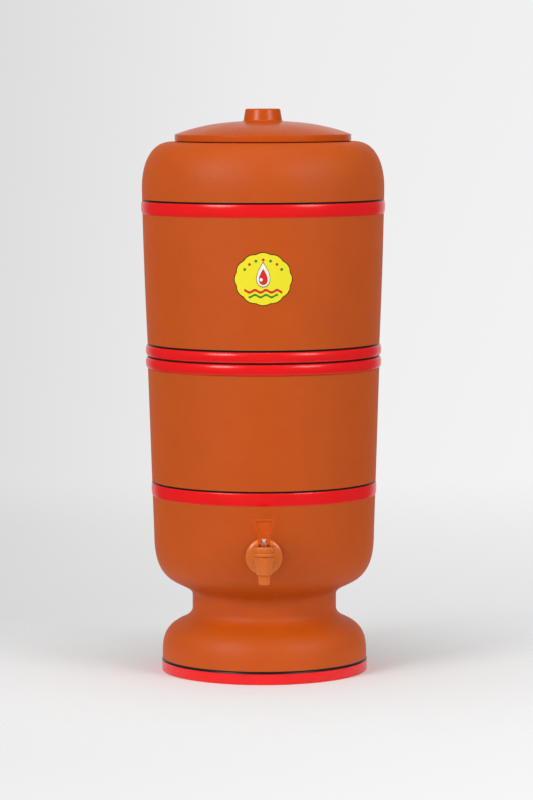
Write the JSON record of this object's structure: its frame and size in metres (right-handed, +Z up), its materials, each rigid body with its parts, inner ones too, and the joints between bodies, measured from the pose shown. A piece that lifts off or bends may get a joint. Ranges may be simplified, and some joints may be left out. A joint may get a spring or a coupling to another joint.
{
  "type": "clay water filter",
  "caption": "Two-chamber terracotta water filter on a pedestal foot, with a plastic lid, ceramic candles, float valves and a lever tap.",
  "frame": {"origin": "on the floor, under the middle of the whole object's box; the vessel's axis stands 15.4 mm behind it and the tap's axis 119.6 mm in front", "axes": "+Z up, the tap faces -Y, +X to the right as seen from the front"},
  "size_m": [0.2308, 0.2616, 0.5334],
  "materials": {
    "painted_terracotta": "satin orange paint over fired clay, with red enamel bands",
    "lid_plastic": "satin moulded plastic",
    "tap_plastic": "satin moulded plastic",
    "lever_plastic": "satin moulded plastic",
    "stem_plastic": "matte moulded plastic",
    "candle_ceramic": "unglazed porous white ceramic",
    "white_plastic": "satin white moulded plastic",
    "carbon_block": "matte pressed carbon with a plastic binder",
    "rubber": "matte dark rubber",
    "stainless_steel": "drawn stainless wire and pins"
  },
  "bodies": {
    "lower": {"lower_chamber": "painted_terracotta", "tap_body": "tap_plastic", "outer_washer": "rubber", "inner_washer": "rubber", "back_nut": "white_plastic", "bonnet": "tap_plastic", "return_spring": "stainless_steel"},
    "upper": {"upper_chamber": "painted_terracotta", "candle_shell_left": "candle_ceramic", "candle_core_left": "carbon_block", "candle_cup_left": "white_plastic", "candle_gasket_left": "rubber", "nut_gasket_left": "rubber", "wing_nut_left": "white_plastic", "float_valve_body_left": "white_plastic", "float_hinge_pin_left": "stainless_steel", "candle_shell_right": "candle_ceramic", "candle_core_right": "carbon_block", "candle_cup_right": "white_plastic", "candle_gasket_right": "rubber", "nut_gasket_right": "rubber", "wing_nut_right": "white_plastic", "float_valve_body_right": "white_plastic", "float_hinge_pin_right": "stainless_steel"},
    "top_lid": {"lid": "lid_plastic"},
    "float_swinger_left": {"float_arm_left": "white_plastic", "float_pad_left": "rubber", "float_left": "white_plastic"},
    "float_swinger_right": {"float_arm_right": "white_plastic", "float_pad_right": "rubber", "float_right": "white_plastic"},
    "valve_stem": {"tap_stem": "stem_plastic", "seat_plug": "rubber", "lever_pin": "stainless_steel"},
    "tap_lever": {"lever": "lever_plastic"}
  },
  "joints": [
    {"name": "upper_chamber_lift", "type": "slide", "parent": "lower", "child": "upper", "axis": [0, 0, 1], "range_m": [0, 0.25]},
    {"name": "lid_lift", "type": "slide", "parent": "upper", "child": "top_lid", "axis": [0, 0, 1], "range_m": [0, 0.1]},
    {"name": "float_left_swing", "type": "hinge", "parent": "upper", "child": "float_swinger_left", "pos_m": [-0.048, 0.00588, 0.2518], "axis": [1, 0, 0], "range_deg": [0, 28]},
    {"name": "float_right_swing", "type": "hinge", "parent": "upper", "child": "float_swinger_right", "pos_m": [0.048, 0.00588, 0.2518], "axis": [1, 0, 0], "range_deg": [0, 28]},
    {"name": "stem_lift", "type": "slide", "parent": "lower", "child": "valve_stem", "axis": [0, 0, 1], "range_m": [0, 0.003], "stiffness_N_per_m": 400, "springref_m": -0.003, "deforming": ["return_spring"]},
    {"name": "lever_tilt", "type": "hinge", "parent": "valve_stem", "child": "tap_lever", "pos_m": [0, -0.11956, 0.1394], "axis": [1, 0, 0], "range_deg": [0, 60]}
  ],
  "couplings": [
    {"joint": "lever_tilt", "follows": "stem_lift", "rad_per_m": 349.06}
  ]
}
